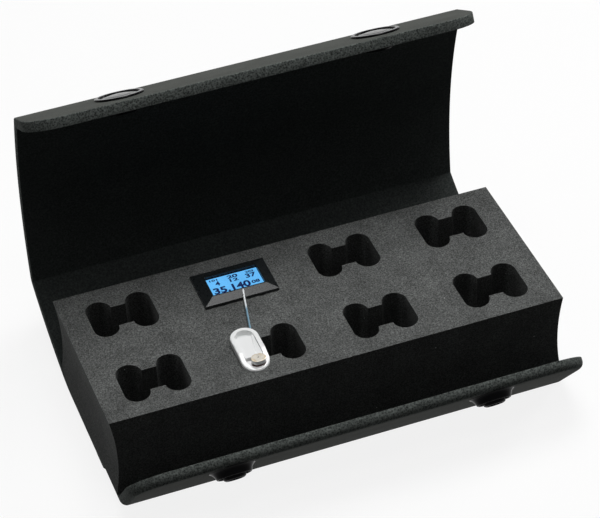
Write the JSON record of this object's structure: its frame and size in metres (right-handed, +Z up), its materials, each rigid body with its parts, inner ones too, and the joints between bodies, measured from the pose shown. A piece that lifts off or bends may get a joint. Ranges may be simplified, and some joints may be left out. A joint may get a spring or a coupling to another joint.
{
  "type": "crystal storage box",
  "caption": "Folded foam case with a die-cut foam block for radio crystals, press studs on its closing flap and a small lit display.",
  "frame": {"origin": "on the underside of the base, below the middle of the foam block", "axes": "+X along the box, +Y from the front wall to the back, +Z up"},
  "size_m": [0.2, 0.1577, 0.1351],
  "materials": {
    "sheet_foam": "matte foam sheet, fine cells on cut edges",
    "block_foam": "matte foam, fine cells",
    "black_gloss": "gloss",
    "white_gloss": "gloss",
    "brown_gloss": "gloss",
    "clear_window": "clear",
    "lcd_glass": "lit",
    "light_guide": "frosted",
    "circuit_board": "solder mask",
    "steel_bright": "bright",
    "brass_bright": "bright"
  },
  "bodies": {
    "base": {"base_panel": "sheet_foam", "insert_block": "block_foam", "insert_floor": "block_foam"},
    "front_wall": {"front_wall": "sheet_foam", "left_stud": "black_gloss", "right_stud": "black_gloss", "left_stud_post": "black_gloss", "right_stud_post": "black_gloss"},
    "spine": {"spine_panel": "sheet_foam"},
    "lid": {"lid_panel": "sheet_foam"},
    "flap": {"lid_flap": "sheet_foam", "left_cap": "black_gloss", "right_cap": "black_gloss", "left_socket": "black_gloss", "right_socket": "black_gloss", "left_socket_spring": "steel_bright", "right_socket_spring": "steel_bright"},
    "display": {"display_bezel": "black_gloss", "display_window": "clear_window", "display_lcd": "lcd_glass", "display_backlight": "light_guide", "display_case": "black_gloss", "display_board": "circuit_board", "display_cell": "steel_bright", "display_cell_clip": "steel_bright", "contact_wire": "steel_bright"},
    "crystal": {"crystal_holder": "white_gloss", "crystal_can": "brown_gloss", "crystal_band": "white_gloss", "crystal_cap": "brass_bright", "crystal_tag": "white_gloss", "crystal_pins": "brass_bright"}
  },
  "joints": [
    {"name": "front_wall_fold", "type": "hinge", "parent": "base", "child": "front_wall", "pos_m": [0, -0.0432, 0.00225], "axis": [1, 0, 0], "range_deg": [-38.9, 38]},
    {"name": "spine_fold", "type": "hinge", "parent": "base", "child": "spine", "pos_m": [0, 0.0432, 0.00504], "axis": [-1, 0, 0], "range_deg": [-64.9, 28]},
    {"name": "lid_fold", "type": "hinge", "parent": "spine", "child": "lid", "pos_m": [0, 0.08206, 0.02324], "axis": [-1, 0, 0], "range_deg": [-19, 42]},
    {"name": "flap_fold", "type": "hinge", "parent": "lid", "child": "flap", "pos_m": [0, 0.072, 0.11741], "axis": [-1, 0, 0], "range_deg": [-35.6, 42]},
    {"name": "display_lift", "type": "slide", "parent": "base", "child": "display", "axis": [0, 0, 1], "range_m": [0, 0.03]},
    {"name": "crystal_lift", "type": "slide", "parent": "base", "child": "crystal", "axis": [0, 0, 1], "range_m": [0, 0.03]}
  ]
}
